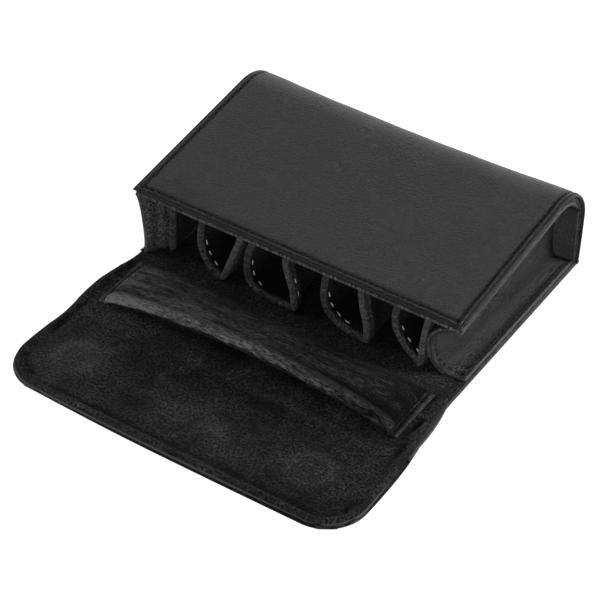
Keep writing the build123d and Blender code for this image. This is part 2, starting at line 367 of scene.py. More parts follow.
def stitch_row(
    name, line, normals, material, pitch=stitch_pitch, length=stitch_length, width=thread_width
):
    """A seam: stitches laid end to end along a line in mm, flat against the sheet with these normals."""
    line, normals = np.asarray(line, float), np.asarray(normals, float)
    reach = run_along(line)
    count = max(1, int(reach[-1] / pitch))
    centres = (np.arange(count) + 0.5) * reach[-1] / count
    shape = stitch_corners * (length / stitch_length, width / thread_width, width / thread_width)
    corners, faces = [], []
    for number, centre in enumerate(centres):
        behind, spot, ahead = points_at((centre - 0.4, centre, centre + 0.4), reach, line)
        way = (ahead - behind) / max(np.linalg.norm(ahead - behind), 1e-9)
        up = points_at(centre, reach, normals)
        up -= way * up.dot(way)
        up /= max(np.linalg.norm(up), 1e-9)
        sideways = np.cross(up, way)
        tilt = 0.10 * sin(number * 2.399)
        way, sideways = way * cos(tilt) + sideways * sin(tilt), sideways * cos(tilt) - way * sin(tilt)
        faces.extend([[v + len(corners) * len(shape) for v in face] for face in stitch_faces])
        corners.append(spot + shape[:, :1] * way + shape[:, 1:2] * sideways + shape[:, 2:] * up)
    mesh = bpy.data.meshes.new(name)
    mesh.from_pydata((np.concatenate(corners) * mm).tolist(), [], faces)
    mesh.shade_smooth()
    seam = placed(name, mesh)
    dress(seam, material)
    return seam


def thread_finish(name, colour):
    """Twisted, waxed thread: fine slanting plies with a low gloss."""
    material, tree, shader = new_finish(name, colour, 0.55)
    twist = {"Vector": where_on(tree, "object"), "Scale": 900.0, "Distortion": 1.5}
    plies = node(tree, "TexWave", twist, wave_type="BANDS", bands_direction="DIAGONAL").outputs["Fac"]
    emboss(tree, shader, plies, 0.5, 0.0001)
    tint(tree, shader, plies, [c * 0.6 for c in colour], colour)
    feed(tree, shader, {"Specular IOR Level": 0.15})
    return material


black_thread = thread_finish("waxed_black_thread", (0.0012, 0.0012, 0.0012))


def on_sheet(points, row, column):
    """The point of a grid at a row and column number, which may lie between two."""
    low = int(min(np.floor(row), points.shape[0] - 2))
    left = int(min(np.floor(column), points.shape[1] - 2))
    a, b = row - low, column - left
    return (
        points[low, left] * (1 - a) * (1 - b)
        + points[low + 1, left] * a * (1 - b)
        + points[low, left + 1] * (1 - a) * b
        + points[low + 1, left + 1] * a * b
    )


def seam_on(points, lift, rows, columns):
    """Line and normals of a seam that follows a grid at these row and column numbers."""
    normals = sheet_normals(points)
    raised = points + normals * lift[..., None]
    return [np.array([on_sheet(grid, r, c) for r, c in zip(rows, columns)]) for grid in (raised, normals)]


def number_at(place, places):
    """Number of the row or column at a place among these, with the part of the way to the next."""
    return float(np.interp(place, places, np.arange(len(places))))


thread_lift, seam_points = 0.12, 200
mouth_number = number_at(stitch_inset - mouth_turn, runs)
foot_number = number_at(wrap_run - stitch_inset, runs)
left_number = number_at(stitch_inset, widths)
right_number = number_at(2 * skin_half - stitch_inset, widths)
across_numbers = np.linspace(left_number, right_number, seam_points)
down_numbers = np.linspace(mouth_number, foot_number, seam_points)
for label, rows, columns in (
    ("mouth_edge_stitches", [mouth_number] * seam_points, across_numbers),
    ("rear_foot_stitches", [foot_number] * seam_points, across_numbers),
    ("left_edge_stitches", down_numbers, [left_number] * seam_points),
    ("right_edge_stitches", down_numbers, [right_number] * seam_points),
):
    line, ups = seam_on(skin, outer_skin + thread_lift, rows, columns)
    seam = stitch_row(label, line, ups, black_thread)
    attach(seam, "case")


# Pieces inside the leather: a thin black foam in the wrap, two plain steel discs that catch the flap's
# plated magnets, and three stiffener boards. They are glued in and don't show, so they keep their own
# solids, and only get their finishes here.
def foam_finish():
    """Open-cell foam: tiny pits and a dull surface."""
    material, tree, shader = new_finish("thin_black_foam", (0.03, 0.03, 0.03), 0.95)
    pits = node(tree, "TexVoronoi", {"Vector": where_on(tree, "object"), "Scale": 1400.0})
    emboss(tree, shader, pits, 0.8, 0.0003)
    tint(tree, shader, pits, (0.015, 0.015, 0.015), (0.05, 0.05, 0.05))
    return material


def metal_finish(name, colour, roughness, marks_to_metre):
    """Bare or plated metal with faint turning marks."""
    material, tree, shader = new_finish(name, colour, roughness)
    marks = cloudy(tree, where_on(tree, "object"), marks_to_metre, 4.0)
    shine = ranged(tree, marks, 0.0, 1.0, roughness - 0.08, roughness + 0.12)
    feed(tree, shader, {"Metallic": 1.0, "Roughness": shine})
    return material


def board_finish():
    """Pressed stiffener board: faint fibres in near black."""
    material, tree, shader = new_finish("pressed_board", (0.03, 0.03, 0.03), 0.8)
    fibres = cloudy(tree, where_on(tree, "object"), 700.0, 5.0)
    emboss(tree, shader, fibres, 0.3, 0.0001)
    tint(tree, shader, fibres, (0.02, 0.02, 0.02), (0.05, 0.05, 0.05))
    return material


inner_finishes = {
    "wrap_foam": foam_finish(),
    "left_catch_disc": metal_finish("plain_steel", (0.55, 0.56, 0.58), 0.35, 300.0),
    "left_magnet": metal_finish("bright_plating", (0.7, 0.7, 0.72), 0.15, 200.0),
    "back_board": board_finish(),
}
for twin, first in (
    ("right_catch_disc", "left_catch_disc"),
    ("right_magnet", "left_magnet"),
    ("cover_board", "back_board"),
    ("front_board", "back_board"),
):
    inner_finishes[twin] = inner_finishes[first]
for name, material in inner_finishes.items():
    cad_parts[name].data.materials.clear()
    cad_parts[name].data.materials.append(material)


# Plush lining of the wrap: short black pile, cut about level with the leather at the mouth, where it
# shows as a soft lip under the leather edge. It is glued to the foam and sewn in with the edge stitches.
lip_setback, side_cut, foot_cut, lining_thickness = 0.1, 0.5, 2.6, 1.25


def plush_finish(name, dark, light, brush=(1.0, 1.0, 1.0), place="flat"):
    """Short black plush: a fibre bump, brushed patches of lighter and darker pile, and a soft sheen."""
    material, tree, shader = new_finish(name, dark, 0.9)
    combed = node(tree, "Mapping", {"Vector": where_on(tree, place), "Scale": brush})
    fibres = cloudy(tree, combed, 950.0, 4.0, 0.7)
    tufts = cloudy(tree, combed, 330.0, 4.0, 0.65, 0.6)
    patches = cloudy(tree, combed, 55.0, 5.0, 0.6, 0.8)
    emboss(tree, shader, worked(tree, "ADD", tufts, fibres), 1.0, 0.0009)
    coarse = ranged(tree, patches, 0.36, 0.66, 0.2, 1.1)
    middling = ranged(tree, tufts, 0.3, 0.7, 0.35, 1.1)
    fine = ranged(tree, fibres, 0.43, 0.64, 0.0, 1.0)
    tone = worked(tree, "MULTIPLY", worked(tree, "MULTIPLY", coarse, middling), fine)
    # The rim attribute adds painted highlights and painted shade to the pile's tone.
    rim = node(tree, "Attribute", attribute_name="rim").outputs["Fac"]
    raised = worked(tree, "MULTIPLY_ADD", fine, 0.7, 0.3)
    tone_and_painted_light = worked(tree, "MULTIPLY_ADD", rim, raised, tone, clamp=True)
    tint(tree, shader, tone_and_painted_light, dark, light)
    sheen = {"Sheen Weight": 0.06, "Sheen Roughness": 0.45, "Sheen Tint": (0.75, 0.76, 0.8, 1)}
    feed(tree, shader, {"Specular IOR Level": 0.05, **sheen})
    return material


inner_plush = plush_finish("black_plush", (0.001, 0.001, 0.001), (0.13, 0.13, 0.13))

lining_half = case_half - side_cut
lining_rim = (0, 0.1, 0.3, 0.6, 1, 1.6, 2.6, 4.5)
lining_runs = spaced(wrap_run - lip_setback - foot_cut, 2.6, rim=lining_rim) + lip_setback
lining_widths = spaced(2 * lining_half, 3.2, rim=lining_rim)
lining_middle = skin_thickness + lining_thickness / 2
lining_grid = np.array([
    [(x - case_half + side_cut, *wrap_point(run, lining_middle)) for x in lining_widths]
    for run in lining_runs
])
lining_side = np.minimum(lining_widths, 2 * lining_half - lining_widths)
lining_side, lip_gap = np.meshgrid(lining_side, lining_runs - lip_setback)
lip = 0.15 * hump(lip_gap, 3.0)
lining_full = rolled(lip_gap, 0.8) * rolled(lining_side, 0.6)
puffed = 0.7 * hump(np.minimum(lip_gap, lining_side), 1.9)
lining_sag = panel_sag(lining_widths - case_half + side_cut, lip_gap)
# The plush lip at the mouth is painted lighter: a painted highlight along it.
wrap_plush = sewn_sheet(
    "wrap_plush",
    lining_grid,
    (lining_thickness / 2 + puffed) * lining_full - lining_sag,
    -(lining_thickness / 2 + lip) * lining_full - lining_sag,
    (lining_widths, lip_gap),
    0.4 * fade(lip_gap, 0.9),
)
dress(wrap_plush, inner_plush)
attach(wrap_plush, "case")
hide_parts("wrap_lining")


# Gussets: the two recessed side walls, each of leather outside and plush inside, glued back to back and
# stitched round their C-shaped mouth edge. Their flanges turn outward and are sewn between the panels.
flange_x = 76.9
recess_mouth, recess_rear, splay_recess = 15.2, 10.2, 0.7
gusset_foot, gusset_skin, gusset_inset, foot_seam_x = 3.9, 1.35, 2.6, 74.8
gusset_rear = case_rear - 4.1


def gusset_top(y):
    """Height of the wrap's plush above the gusset at y."""
    low, high = 0.0, wrap_run
    for _ in range(40):
        middle = (low + high) / 2
        if wrap_point(middle, 4.1)[0] < y:
            low = middle
        else:
            high = middle
    return wrap_point(low, 4.1)[1]


def gusset_points(side):
    """Grid of the surface between leather and plush, rows from the mouth to the rear, columns round the C."""
    round_shares = np.linspace(0, 1, 57)
    turns = pi * (round_shares - 0.9 * np.sin(2 * pi * round_shares) / (2 * pi))
    mouth_shares = [0, 0.002, 0.006, 0.012, 0.02, 0.03, 0.04, 0.05, 0.06]
    rear_shares = 1 - 0.2 * np.cos(np.linspace(0.08, pi / 2, 16))
    rows = []
    for share in np.concatenate([mouth_shares, np.linspace(0.075, 0.8, 24), rear_shares]):
        row = []
        for turn in turns:
            rise = -cos(turn)
            power = 2.3 + (3.0 if rise > 0 else 2.2) * share
            climb = np.sign(rise) * abs(rise) ** (2 / power)
            depth = sin(turn) ** (2 / power) if turn < pi else 0.0
            front = case_front + (4.2 - 3.0 * climb if side > 0 else 1.3 - 0.5 * climb)
            y = front + share * (gusset_rear - front)
            top = gusset_top(min(y, gusset_rear - 0.05))
            centre = (top + gusset_foot) / 2 - 3.5 * (1 - share) * depth
            z = top if climb > 0 else gusset_foot
            if abs(climb) < 1:
                z = centre + climb * (top - gusset_foot) / 2
            close = np.clip((y - (gusset_rear - 7)) / 7, 0, 1)
            shut = (1 - close ** 4) ** 0.25
            recess = recess_mouth + (recess_rear - recess_mouth) * share ** 0.8
            if side < 0:
                opened = np.clip((y - case_front) / 17, 0, 1)
                recess = splay_recess + (recess - splay_recess) * (1 - (1 - opened) ** 1.35)
            x = flange_x - recess * depth * shut
            row.append((side * x, y, z))
        rows.append(row)
    return np.array(rows), turns


def gusset_sheet(name, side, near, far, material, node_name):
    """One layer of a gusset between two distances from the glue line, towards the inside of the case."""
    points, turns = gusset_points(side)
    y, z = points[..., 1], points[..., 2]
    steps = np.linalg.norm(np.diff(points, axis=0), axis=2)
    gap = np.concatenate([np.zeros((1, len(turns))), np.cumsum(steps, axis=0)])
    full = rolled(gap, 0.75)
    middle, half_thick = (near + far) / 2, abs(far - near) / 2
    groove = pulled(gap, gusset_inset, 0.25, 0.5)
    pleats = np.sin(2 * pi * (gap + 0.5 * np.sin(z / 6)) / 5.5)
    ripple = 0.16 * rough(y, z, 9, 3.3 * side) + 0.22 * rough(y, z * 0.3, 16, 8.1 * side)
    ripple *= np.sin(turns) * np.clip(gap / 8, 0, 1)
    if side < 0:
        ripple += 0.75 * pleats * hump(gap - 10, 8) * np.sin(turns) ** 0.7
    inward = side if far > near else -side
    above = side * middle + inward * half_thick * full + ripple - inward * groove
    below = side * middle - inward * half_thick * full + ripple
    # Painted highlight along the C edge and painted shade on the rear flange; on the leather, painted light
    # on the foot; on the left plush wall, painted light that is lighter on the pleats' crests and darker in
    # their hollows.
    marks = 0.35 * fade(gap, 0.7) - 0.5 * np.clip((y - gusset_rear + 3.0) / 2.0, 0, 1)
    if far < 0:
        foot = np.clip((gusset_foot + 2.2 - z) / 2, 0, 1)
        marks += 0.35 * foot * np.clip((gusset_rear - 4 - y) / 3, 0, 1)
    elif side < 0:
        marks += (0.3 + 0.25 * pleats) * hump(gap - 4, 13)
    piece = sewn_sheet(
        name,
        points,
        above,
        below,
        (gap, run_along(points[12])),
        marks,
    )
    dress(piece, material)
    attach(piece, "case")
    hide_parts(node_name)
    return points, gap, turns


# The gussets have the same black leather as the wrap, given lighter colours: painted light on the recessed
# side walls.
gusset_leather_painted_lighter = leather_finish("black_leather_painted_lighter", (0.003, 0.003, 0.003), (0.048, 0.048, 0.049))
for side, label in ((-1, "left"), (1, "right")):
    gusset = label + "_gusset"
    gusset_sheet(
        gusset + "_skin", side, 0.05, -gusset_skin, gusset_leather_painted_lighter, gusset + "_leather"
    )
    points, gap, turns = gusset_sheet(
        gusset + "_plush", side, 0.05, gusset_skin, inner_plush, gusset + "_lining"
    )
    columns = range(3, len(turns) - 3)
    lift = -side * (gusset_skin - 0.1) + 0 * gap
    line, ups = seam_on(points, lift, [number_at(gusset_inset, gap[:, c]) for c in columns], columns)
    seam = stitch_row(gusset + "_edge_stitches", line, -side * ups, black_thread)
    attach(seam, "case")
    foot_half = points[:, :len(turns) // 2]
    behind = [r for r in range(len(gap)) if gap[r, 3] > gusset_inset and points[r, 3, 1] < gusset_rear - 6]
    columns = [number_at(-foot_seam_x, -np.abs(foot_half[r, :, 0])) for r in behind]
    line, ups = seam_on(points, lift, behind, columns)
    seam = stitch_row(gusset + "_foot_stitches", line, -side * ups, black_thread)
    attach(seam, "case")


# Flap and back: one long leather panel runs under the case and out to the flap's rounded front edge,
# stiffened by boards, with the plush glued on top and all edges stitched. It has two folds, where its mesh is
# cut finer.
base_fold, front_fold, front_edge = -7.85, -47.45, -94.8
flap_leather_top, flap_board_top, flap_top = 1.2, 2.6, 3.8
flap_split, plush_setback, plush_groove = -25.0, 2.9, 4.0
rim_turn, corner_radius = 0.25, 18.0
side_places = (-96, -84, -76, -68, -60, -52, -45, -38, -30, -22, -16, -11, -7, 0, 100)
left_reaches = (81.3, 81.8, 81.7, 81.5, 80.8, 80.2, 80.4, 81.1, 81.2, 80.4, 79.2, 78.1, 77.6, 77.5, 77.5)
right_reaches = (81.4, 81.6, 81.8, 81.9, 81.8, 81.5, 80.9, 79.9, 78.9, 78.0, 77.5, 77.3, 77.4, 77.5, 77.5)


def reach_at(y, reaches):
    """Half width of the flap at y before its front corners are rounded, a smooth line through the reaches."""
    k = min(max(int(np.searchsorted(side_places, y)) - 1, 0), len(side_places) - 2)
    share = (y - side_places[k]) / (side_places[k + 1] - side_places[k])
    before, after = reaches[max(k - 1, 0)], reaches[min(k + 2, len(reaches) - 1)]
    low, high = reaches[k], reaches[k + 1]
    if k + 2 >= len(reaches) or side_places[k + 1] > 50:
        return high
    lean_low, lean_high = (high - before) / 2 if k else 0.0, (after - low) / 2
    return (
        low * (1 - 3 * share ** 2 + 2 * share ** 3)
        + high * (3 * share ** 2 - 2 * share ** 3)
        + lean_low * (share - 2 * share ** 2 + share ** 3)
        + lean_high * (share ** 3 - share ** 2)
    )


def flap_edge(inset, rear, front):
    """Outline of the flap from its rear right point round to its rear left point, inset from the edge."""
    radius = corner_radius - inset
    halves = []
    for reaches, front_lift in ((right_reaches, 0.3), (left_reaches, 1.6)):
        stop = front_edge + corner_radius + front_lift
        points = []
        for y in np.linspace(rear, max(front, stop), 70):
            points.append((reach_at(y, reaches) + rim_turn * min(1, max(0, (-6 - y) / 6)) - inset, y))
        if front <= front_edge:
            centre = (points[-1][0] - radius, stop)
            for turn in np.linspace(0, radians(89), 22)[1:]:
                points.append((centre[0] + radius * cos(turn), centre[1] - radius * sin(turn)))
            last_x, last_y = points[-1]
            drop = front_edge + inset - last_y
            for share in np.linspace(0, 1, 42)[1:]:
                points.append((last_x * (1 - share), last_y + drop * sin(pi / 2 * share)))
        halves.append(points)
    right, left = halves
    return right + [(-x, y) for x, y in reversed(left) if x > 0.01]


def distance_to(line, places):
    """Distance of each place to an open line, all in mm."""
    line, places = np.asarray(line, float), np.asarray(places, float)
    best = np.full(len(places), 1e9)
    for a, b in zip(line[:-1], line[1:]):
        d = b - a
        t = np.clip(((places - a) @ d) / max(d @ d, 1e-12), 0, 1)
        best = np.minimum(best, np.linalg.norm(places - a - t[:, None] * d, axis=1))
    return best


def flap_plate(name, inset, rear, front, heights, marks, cuts, rings, grid=3.2):
    """A closed sheet cut to the flap's outline: rings of edges beside its border, and a grid inside it."""
    outline = flap_edge(inset, rear, front)
    work = bmesh.new()
    corners = [work.verts.new((x, y, 0)) for x, y in outline]
    face = work.faces.new(corners)
    step = 0
    for ring in rings:
        bmesh.ops.inset_region(work, faces=[face], thickness=ring - step, use_even_offset=True)
        step = ring
    planes = [((x + 0.013, 0, 0), (1, 0, 0)) for x in np.arange(-80, 80.1, grid)]
    planes += [((0, y + 0.017, 0), (0, 1, 0)) for y in (*np.arange(front - 0.7, rear, grid), *cuts)]
    for place, normal in planes:
        whole = work.verts[:] + work.edges[:] + work.faces[:]
        bmesh.ops.bisect_plane(work, geom=whole, plane_co=place, plane_no=normal, dist=1e-4)
    work.verts.ensure_lookup_table()
    places = np.array([(v.co.x, v.co.y) for v in work.verts])
    gaps = distance_to(outline, places)
    tops, bottoms = heights(places[:, 0], places[:, 1], gaps)
    count = len(places)
    work.verts.index_update()
    up = [[v.index for v in f.verts] for f in work.faces]
    border = [[v.index for v in e.verts] for e in work.edges if len(e.link_faces) == 1]
    work.free()
    down = [[v + count for v in reversed(f)] for f in up]
    sides = [[a, b, b + count, a + count] for a, b in border]
    points = np.concatenate([np.column_stack([places, tops]), np.column_stack([places, bottoms])])
    mesh = bpy.data.meshes.new(name)
    mesh.from_pydata((points * mm).tolist(), [], up + down + sides)
    mark_surface(mesh, points[:, :2], np.tile(marks(places[:, 0], places[:, 1], gaps), 2))
    piece = finished(name, mesh)
    for other in bpy.context.selected_objects:
        other.select_set(False)
    piece.select_set(True)
    bpy.context.view_layer.objects.active = piece
    bpy.ops.object.shade_smooth_by_angle(angle=radians(55))
    piece.select_set(False)
    return piece


def leather_heights(x, y, gap):
    """Top and bottom of the leather: a thin sheet whose edge turns up round the board."""
    turned = 1.3 * rolled(gap, 1.0)
    return np.where(gap < 1.15, 1.3 + turned, flap_leather_top), 1.3 - turned


def leather_edge_highlight(x, y, gap):
    """Painted highlight along the leather's turned edge."""
    return 0.15 * fade(gap, 0.9)


left_magnet, right_magnet = (-58, -70), (53, -71)


def magnet_gaps(x, y):
    """Distances to the middles of the left and the right magnet."""
    return [np.hypot(x - middle_x, y - middle_y) for middle_x, middle_y in (left_magnet, right_magnet)]


def plush_marks(x, y, gap):
    """Lighter pile over the magnets, with a lighter ring at their edge, where the flap is stroked and in
    front of the mouth.
    Painted highlights on the puffed rim and along the front fold's crease, the left side painted lighter as
    light from the left would make it, and painted shade in the seam's groove."""
    on_flap = np.clip((base_fold - y) / 3, 0, 1)
    rim = 0.30 * hump(gap - 1.9, 1.4) - 0.55 * hump(gap - plush_groove, 0.8)
    magnets = sum(0.24 / (1 + np.exp(r - 9.4)) + 0.34 * hump(r - 8.6, 1.4) for r in magnet_gaps(x, y))
    blotches = rough(x, y * 1.8, 21, 12.5) + 0.6 * rough(x, y * 2.2, 8, 3.1)
    stroked = 0.60 * np.exp(-((x - 6) / 26) ** 2 - ((y + 74) / 11) ** 2) * np.clip(0.55 + blotches, 0, 1.5)
    left_side_painted_light = 0.30 * np.clip((-20 - x) / 40, 0, 1) * np.clip(0.7 + blotches, 0, 1.4)
    crease = 0.24 * hump(y - front_fold - 0.5, 1.6) * np.clip(0.8 + blotches, 0, 1.3)
    at_mouth = 0.22 * hump(y + 5, 8) * (gap > plush_groove)
    return (rim + (magnets + stroked + left_side_painted_light + crease) * (gap > plush_groove)) * on_flap + at_mouth


def plush_heights(x, y, gap):
    """Top and bottom of the plush: puffed at its rim, pulled in at the stitches, raised over the magnets."""
    full = rolled(gap, 0.9)
    rim = 0.75 * hump(gap - 2.0, 1.3) * (1 - 0.75 * hump(y + 46, 6))
    groove = pulled(gap, plush_groove, 0.85, 0.6)
    loft = -0.55 * np.clip((gap - plush_groove) / 8, 0, 1) * np.clip((-38 - y) / 4, 0, 1)
    uneven = 0.20 * rough(x, y, 24, 4.4) + 0.12 * rough(x, y, 8, 1.9)
    uneven *= np.clip((gap - 4.4) / 10, 0, 1)
    reach = np.minimum(*magnet_gaps(x, y))
    mark = 0.5 / (1 + np.exp((reach - 9.0) / 0.5)) - 0.2 * hump(reach - 10.6, 1.0)
    crease = 0.18 * hump(y - front_fold, 0.9) * (gap > 5)
    inside_case = np.clip((y - base_fold - 2) / 3, 0, 1)
    swing = (rim - groove + loft + uneven + mark - crease) * (1 - inside_case)
    middle = (flap_board_top + flap_top) / 2
    half_thick = (flap_top - flap_board_top) / 2
    return middle + half_thick * full + swing * np.clip(gap / 0.5, 0, 1), middle - half_thick * full


fold_cuts = (-3, -2.2, -1.5, -0.9, -0.3, 0.3, 0.9, 1.5, 2.2, 3)
leather_rings = (0.06, 0.2, 0.45, 0.8, 1.1, 1.2, 2.5)
plush_rings = (0.08, 0.25, 0.5, 0.9, 1.4, 2.0, 2.6, 3.1, 3.6, 4.0, 4.4, 5.0, 6.0, 8.0)
# The flap's plush is the lining's black plush with a darker light colour: painted shade that sets how bright
# the lit flap renders.
flap_plush = plush_finish("flap_plush", (0.0008, 0.0008, 0.0008), (0.066, 0.066, 0.066))
plush_rear = case_rear - plush_setback
for label, rear, front, bodies, fold_place, nodes in (
    ("back_and_cover", plush_rear, flap_split, ("case", "flap_cover"), base_fold, ("back", "cover")),
    ("cover_and_front", flap_split, front_edge, ("flap_cover", "flap_front"), front_fold, ("cover", "front")),
):
    cuts = [fold_place + d for d in fold_cuts]
    hull_rear = rear + (plush_setback if rear > 0 else 0)
    hull = flap_plate(
        label + "_leather", 0.0, hull_rear, front, leather_heights, leather_edge_highlight, cuts, leather_rings
    )
    dress(hull, skin_leather)
    lay = flap_plate(
        label + "_plush", 0.9, rear, front, plush_heights, plush_marks, cuts, plush_rings, grid=2.0
    )
    dress(lay, flap_plush)
    for piece, kind in ((hull, "_leather"), (lay, "_lining")):
        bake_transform(piece)
        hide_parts(*[n + kind for n in nodes])


# Stitches round the flap: the same black lock stitch, on the plush side, in the groove behind the puffed
# rim. They stop short of both folds, so that each row stays on one section of the flap.
flap_stitch_inset, fold_clearance = 4.9, 3
flap_line = flap_edge(flap_stitch_inset, base_fold - 3.2, front_edge)
flap_line = [(x, y, flap_top - 0.5) for x, y in flap_line]
cover_line = [p for p in flap_line if p[1] > front_fold + fold_clearance]
for label, line, rider in (
    ("right_cover_edge_stitches", [p for p in cover_line if p[0] > 0], "flap_cover"),
    ("left_cover_edge_stitches", [p for p in cover_line if p[0] < 0], "flap_cover"),
    ("front_edge_stitches", [p for p in flap_line if p[1] < front_fold - fold_clearance], "flap_front"),
):
    seam = stitch_row(label, line, [(0, 0, 1)] * len(line), black_thread)
    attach(seam, rider)


# Divider: one strip of plush folded into four V cells, with a thick turned hem along its front rim.
# Its lands are glued to the lining above, and grey stitches hold the hem behind the rim.
hem_thickness, strip_thickness, hem_depth = 2.8, 2.0, 7.0
divider_front, divider_rear = -0.25, 72.5
cells = (
    (-44.6, -35.6, -28.4, 6.4),
    (-18.6, -6.0, -5.2, 9.6),
    (14.6, 32.4, 30.2, 8.6),
    (46.8, 58.4, 61.4, 6.2),
)
strip_top, strip_foot = 32.7, 5.4

mouth_walls = (
    (((-46.5, 32.3), (-48.0, 27), (-48.6, 19.5), (-47.0, 13.6), (-43.8, 8.6), (-40.6, 6.0),
      (-36.8, strip_foot)),
     ((-34.6, 11.3), (-31.5, 20.4), (-28.7, 28), (-28.0, 32.1))),
    (((-21.5, 32.3), (-24.8, 24), (-25.6, 15.5), (-23.8, 9.4), (-19.8, 6.4), (-13.5, 5.6),
      (-1.5, strip_foot)),
     ((-2.8, 14.7), (-4.9, 19.9), (-6.6, 25.3), (-7.0, 32.1))),
    (((13.5, 32.3), (12.0, 25), (11.7, 17.6), (13.7, 12.2), (18.7, 8.2), (25.6, 6.0), (33.0, strip_foot)),
     ((32.4, 14.3), (30.2, 20.7), (29.2, 27.8), (28.8, 32.1))),
    (((46.6, 32.3), (45.0, 25), (45.7, 18.4), (48.9, 13.5), (52.8, 9.8), (56.0, 7.4), (57.6, strip_foot)),
     ((58.2, 12), (58.6, 20), (59.8, 28), (60.4, 32.1))),
)


def along_line(points, shares):
    """Points at these shares of a line's length."""
    points = np.asarray(points, float)
    reach = run_along(points)
    return points_at(shares * reach[-1], reach, points)


def strip_path(at_mouth):
    """Middle line of the strip in the XZ plane, up the left gusset, along the lands and down into the cells,
    at the mouth, where the soft hems flare, or inside the case."""
    path = [(-62.4, 8.2), (-62.4, 20), (-62.2, 30), (-61.4, 32.8), (-59.0, strip_top)]
    for (left, apex, right, bow), (down_wall, up_wall) in zip(cells, mouth_walls):
        path.append((left - 2.2, strip_top))
        if at_mouth:
            path.extend(along_line(down_wall, np.linspace(0, 1, 13)))
            path.extend(along_line((down_wall[-1], *up_wall), np.linspace(0.06, 1, 9)))
            path.append((min(up_wall[-1][0] + 2.4, 62.0), strip_top))
            continue
        start, end = np.array((left, strip_top - 0.4)), np.array((apex, strip_foot))
        side = np.array((end[1] - start[1], start[0] - end[0]))
        side /= np.linalg.norm(side)
        if side[0] > 0:
            side = -side
        for share in np.linspace(0, 1, 13):
            path.append(tuple(start + (end - start) * share + side * bow * 4 * share * (1 - share)))
        over = np.array((right - apex, strip_top - 0.6 - strip_foot))
        for share in np.linspace(0.06, 1, 9):
            path.append(tuple(end + over * share + (1.2 * sin(pi * share) + 1.6 * (1 - share), 0)))
        path.append((min(right + 2.4, 62.0), strip_top))
    return np.array(path)


def cut_corners(path):
    """The line with its corners cut twice, which rounds them."""
    for _ in range(2):
        cut = [path[0]]
        for a, b in zip(path[:-1], path[1:]):
            cut.extend([a * 0.75 + b * 0.25, a * 0.25 + b * 0.75])
        cut.append(path[-1])
        path = np.array(cut)
    return path


inner_path, mouth_path = cut_corners(strip_path(False)), cut_corners(strip_path(True))
strip_reach = run_along(inner_path)
even = np.interp(
    np.linspace(0, strip_reach[-1], int(strip_reach[-1])), strip_reach, np.arange(len(strip_reach))
)
strip_line, mouth_line = [points_at(even, np.arange(len(p)), p) for p in (inner_path, mouth_path)]
hem_rows = [0, 0.1, 0.3, 0.6, 1.0, 1.5, 2.1, 2.8, 3.3, 3.8, 4.3, 5, 5.8, 6.5, 7, 7.5, 9]
strip_rows = np.concatenate([hem_rows, np.linspace(12, divider_rear - divider_front, 22)])
strip_along = run_along(strip_line)
along_of, strip_gap = np.meshgrid(strip_along, strip_rows)
flare = hump(strip_gap, 10)[..., None]
strip_xz = mouth_line * flare + strip_line * (1 - flare)
hem_lean = 1.5 * flare[..., 0] * np.clip(1 - (strip_xz[..., 1] - strip_foot) / 27.3, 0, 1)
strip_y = divider_front + strip_gap - hem_lean
strip_grid = np.stack([strip_xz[..., 0], strip_y, strip_xz[..., 1] + strip_gap * tan(panel_slope)], axis=-1)
end_gap = np.minimum(along_of, strip_along[-1] - along_of)
behind_hem = strip_thickness + (hem_thickness - strip_thickness) * fade(strip_gap - hem_depth, 0.6)
thick = np.where(strip_gap < hem_depth, hem_thickness, behind_hem)
thick = thick / 2 * rolled(strip_gap, 1.5) * rolled(end_gap, 1.2) - pulled(strip_gap, 3.5, 0.28, 0.5)
thick = np.maximum(thick, 0)
pile = 0.10 * rough(along_of, strip_gap, 5, 6.6) * np.clip(strip_gap / 2, 0, 1)


def nearest(line, place):
    """Number of the point of a line that lies nearest a place."""
    return int(np.argmin(np.hypot(*(line - place).T)))


on_right = np.zeros(len(strip_line))
for down_wall, up_wall in mouth_walls:
    on_right[nearest(mouth_line, down_wall[-1]):nearest(mouth_line, up_wall[-1]) + 1] = 1
# Painted light and shade on the divider's hem: a painted highlight along its front edge, the hem face painted
# lighter, much more on the cells' right walls, and painted shade deeper into the cells and in a groove on the
# right walls.
lit_depth = 2.0 + 2.4 * on_right
hem_painted_light_and_shade = 0.5 * hump(strip_gap - 0.9, 0.9)
hem_painted_light_and_shade += (0.15 + 0.45 * on_right) * np.clip((lit_depth - strip_gap) / 0.7, 0, 1)
hem_painted_light_and_shade -= 0.7 * np.clip((strip_gap - lit_depth) / 1.0, 0, 1) + 0.45 * on_right * hump(strip_gap - 2.3, 0.5)
# The divider's plush is the lining's black plush with a darker light colour: painted shade on the divider.
divider_plush = plush_finish("divider_plush", (0.0008, 0.0008, 0.0008), (0.078, 0.078, 0.078))
divider_strip = sewn_sheet(
    "divider_strip",
    strip_grid,
    thick + pile,
    -thick + pile,
    (along_of, strip_gap),
    hem_painted_light_and_shade,
)
dress(divider_strip, divider_plush)
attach(divider_strip, "case")
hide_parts("divider")

